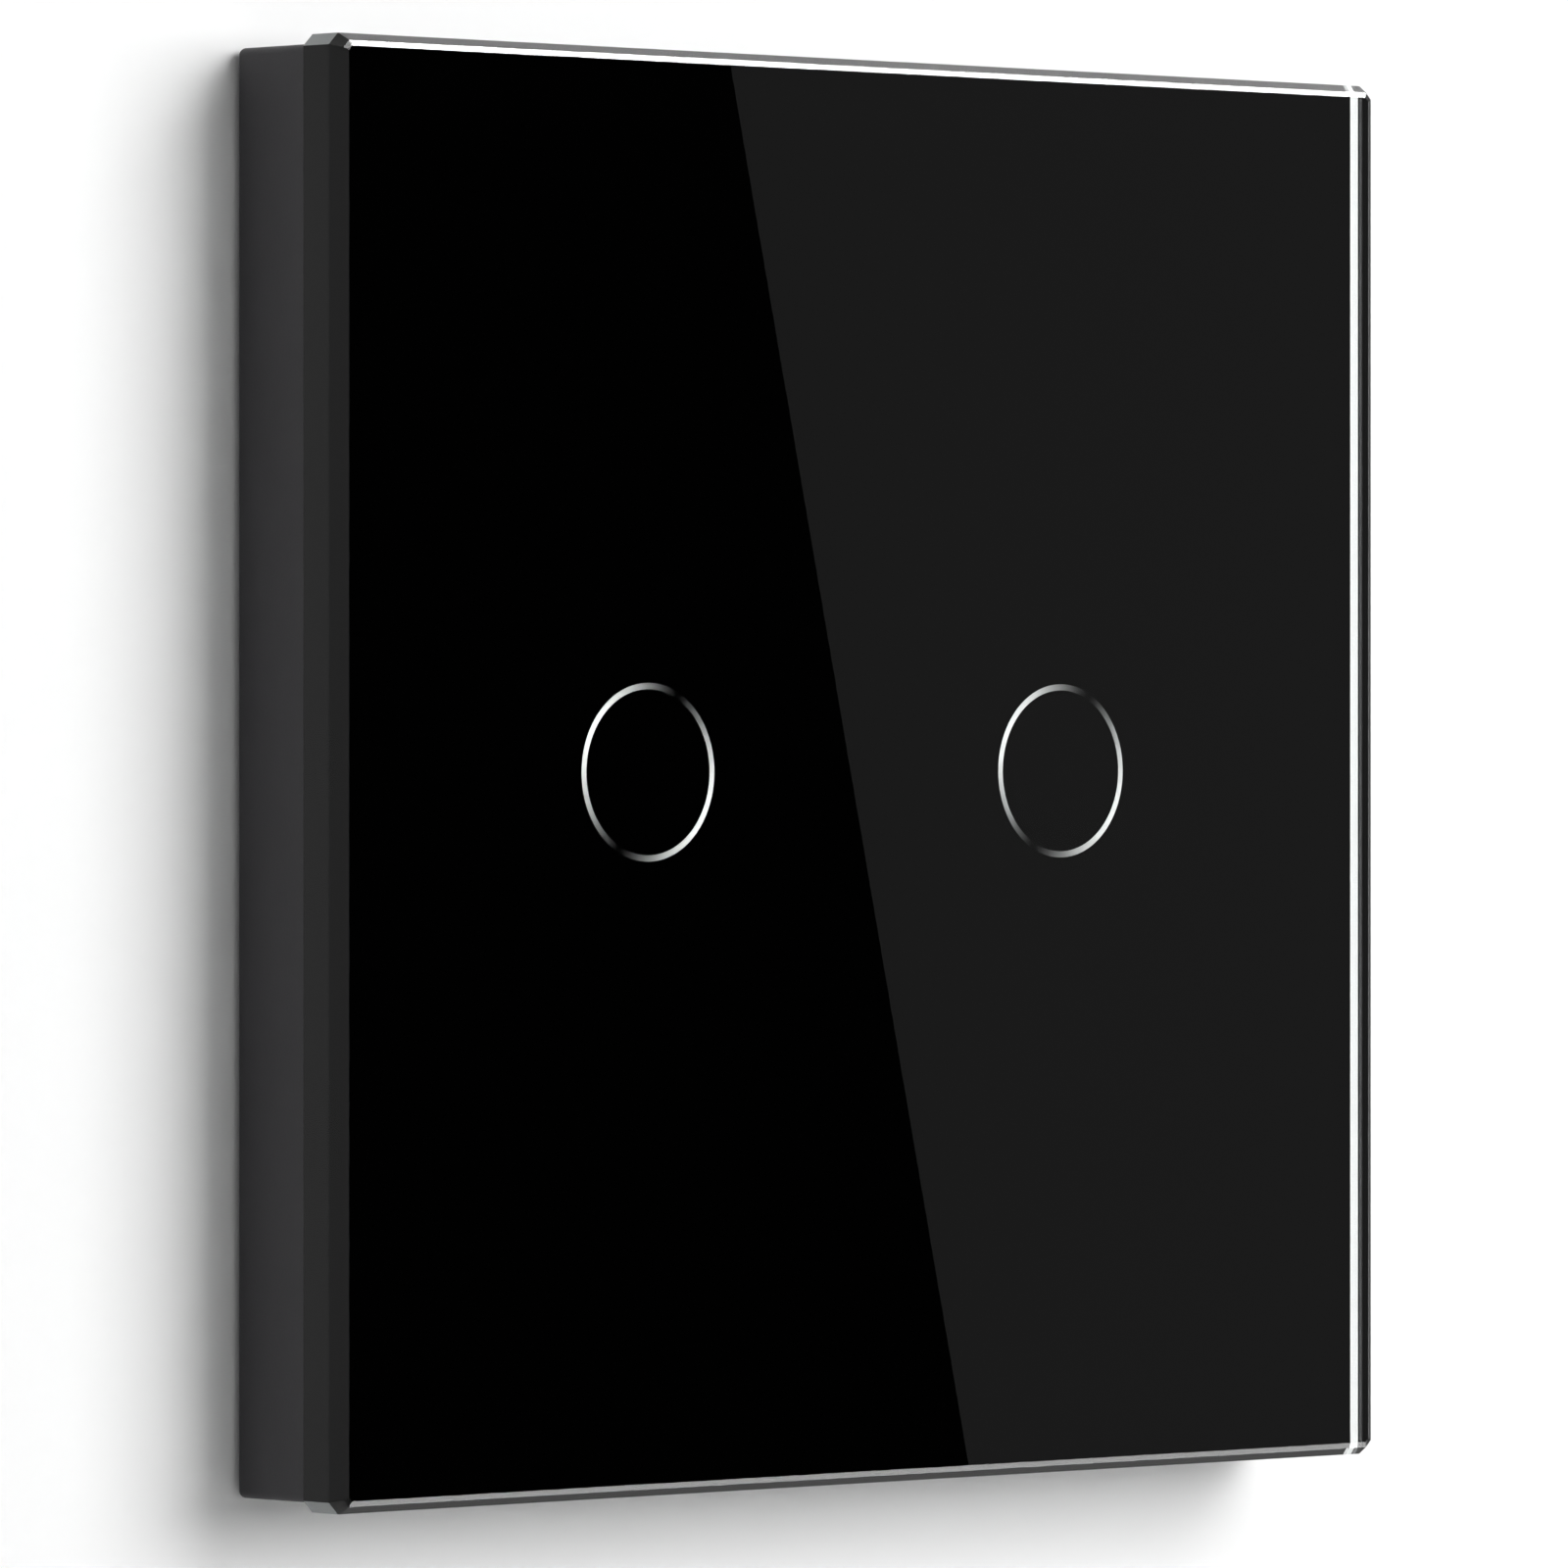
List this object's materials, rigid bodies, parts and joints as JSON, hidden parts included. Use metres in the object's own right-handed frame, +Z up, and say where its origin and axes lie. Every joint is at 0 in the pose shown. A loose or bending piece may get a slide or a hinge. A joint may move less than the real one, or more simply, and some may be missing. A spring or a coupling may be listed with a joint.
{
  "type": "touch light switch",
  "caption": "Square two-gang touch light switch: bevelled black glass panel with two metal rings, on a flush relay module for a round wall box.",
  "frame": {"origin": "centre of the wall plane behind the plate, midway between the box screws", "axes": "+X to the right seen from the room, +Y into the wall, +Z up"},
  "size_m": [0.08, 0.0353, 0.08],
  "materials": {
    "clear_glass": "polished toughened glass, bevelled front edge",
    "black_print": "black ink film",
    "ring_metal": "bright spun metal, seen through the glass",
    "frame_plastic": "fine moulded grain, dark grey",
    "plate_steel": "zinc plated sheet",
    "housing_plastic": "moulded, dark grey",
    "cover_plastic": "moulded, dark grey",
    "screw_steel": "zinc plated",
    "board_laminate": "green solder mask",
    "pad_foam": "conductive foam",
    "guide_acrylic": "frosted clear",
    "led_resin": "clear resin",
    "chip_resin": "moulded black resin",
    "chip_ceramic": "glazed chips",
    "connector_plastic": "moulded black",
    "plated_brass": "tinned",
    "can_aluminium": "can in a dark sleeve",
    "film_case": "yellow case",
    "ferrite": "sintered dark grey",
    "copper_winding": "enamelled copper",
    "varistor_coat": "dipped blue",
    "fuse_case": "brown case",
    "terminal_plastic": "moulded light grey",
    "relay_plastic": "moulded black",
    "relay_iron": "nickel plated",
    "contact_brass": "rolled strip",
    "plated_steel": "nickel plated"
  },
  "bodies": {
    "base": {"base_housing": "housing_plastic", "contact_bars": "plated_brass", "electrolytic_capacitor": "can_aluminium", "film_capacitor": "film_case", "front_cover": "cover_plastic", "fuse": "fuse_case", "header_pins": "plated_brass", "header_socket": "connector_plastic", "header_strip": "connector_plastic", "housing_screws": "screw_steel", "inductor": "ferrite", "light_guide_left": "guide_acrylic", "light_guide_right": "guide_acrylic", "mounting_plate": "plate_steel", "output_capacitor": "can_aluminium", "power_board": "board_laminate", "rectifier": "chip_resin", "regulator": "chip_resin", "relay_left_base": "relay_plastic", "relay_left_case": "relay_plastic", "relay_left_coil": "copper_winding", "relay_left_fixed_contact": "contact_brass", "relay_left_yoke": "relay_iron", "relay_right_base": "relay_plastic", "relay_right_case": "relay_plastic", "relay_right_coil": "copper_winding", "relay_right_fixed_contact": "contact_brass", "relay_right_yoke": "relay_iron", "sensor_pad_left": "pad_foam", "sensor_pad_right": "pad_foam", "status_leds": "led_resin", "terminal_blocks": "terminal_plastic", "touch_board": "board_laminate", "touch_controller": "chip_resin", "touch_passives": "chip_ceramic", "transformer_core": "ferrite", "transformer_winding": "copper_winding", "varistor": "varistor_coat"},
    "panel": {"glass_panel": "clear_glass", "print_mask": "black_print", "touch_ring_left": "ring_metal", "touch_ring_right": "ring_metal", "panel_frame": "frame_plastic"},
    "relay_left_swing": {"relay_left_armature": "relay_iron", "relay_left_contact_leaf": "contact_brass"},
    "relay_right_swing": {"relay_right_armature": "relay_iron", "relay_right_contact_leaf": "contact_brass"},
    "cage_load_1": {"clamp_cage_load_1": "plated_steel"},
    "screw_load_1": {"clamp_screw_load_1": "screw_steel"},
    "cage_live": {"clamp_cage_live": "plated_steel"},
    "screw_live": {"clamp_screw_live": "screw_steel"},
    "cage_neutral": {"clamp_cage_neutral": "plated_steel"},
    "screw_neutral": {"clamp_screw_neutral": "screw_steel"},
    "cage_load_2": {"clamp_cage_load_2": "plated_steel"},
    "screw_load_2": {"clamp_screw_load_2": "screw_steel"}
  },
  "joints": [
    {"name": "panel_pull", "type": "slide", "parent": "base", "child": "panel", "axis": [0, -1, 0], "range_m": [0, 0.03]},
    {"name": "relay_left_pull_in", "type": "hinge", "parent": "base", "child": "relay_left_swing", "pos_m": [-0.0177, 0.0022, 0.008], "axis": [0, 0, 1], "range_deg": [0, 3.2], "stiffness_Nm_per_rad": 0.0005, "springref_deg": -5.73},
    {"name": "relay_right_pull_in", "type": "hinge", "parent": "base", "child": "relay_right_swing", "pos_m": [0.0027, 0.0022, 0.008], "axis": [0, 0, 1], "range_deg": [0, 3.2], "stiffness_Nm_per_rad": 0.0005, "springref_deg": -5.73},
    {"name": "screw_load_1_turn", "type": "hinge", "parent": "base", "child": "screw_load_1", "pos_m": [-0.01143, 0.022, -0.0196], "axis": [0, -1, 0], "range_deg": [0, 1368]},
    {"name": "cage_load_1_rise", "type": "slide", "parent": "base", "child": "cage_load_1", "axis": [0, 1, 0], "range_m": [0, 0.0019]},
    {"name": "screw_live_turn", "type": "hinge", "parent": "base", "child": "screw_live", "pos_m": [-0.00381, 0.022, -0.0196], "axis": [0, -1, 0], "range_deg": [0, 1368]},
    {"name": "cage_live_rise", "type": "slide", "parent": "base", "child": "cage_live", "axis": [0, 1, 0], "range_m": [0, 0.0019]},
    {"name": "screw_neutral_turn", "type": "hinge", "parent": "base", "child": "screw_neutral", "pos_m": [0.00381, 0.022, -0.0196], "axis": [0, -1, 0], "range_deg": [0, 1368]},
    {"name": "cage_neutral_rise", "type": "slide", "parent": "base", "child": "cage_neutral", "axis": [0, 1, 0], "range_m": [0, 0.0019]},
    {"name": "screw_load_2_turn", "type": "hinge", "parent": "base", "child": "screw_load_2", "pos_m": [0.01143, 0.022, -0.0196], "axis": [0, -1, 0], "range_deg": [0, 1368]},
    {"name": "cage_load_2_rise", "type": "slide", "parent": "base", "child": "cage_load_2", "axis": [0, 1, 0], "range_m": [0, 0.0019]}
  ],
  "couplings": [
    {"joint": "screw_load_1_turn", "follows": "cage_load_1_rise", "rad_per_m": 12566},
    {"joint": "screw_live_turn", "follows": "cage_live_rise", "rad_per_m": 12566},
    {"joint": "screw_neutral_turn", "follows": "cage_neutral_rise", "rad_per_m": 12566},
    {"joint": "screw_load_2_turn", "follows": "cage_load_2_rise", "rad_per_m": 12566}
  ]
}
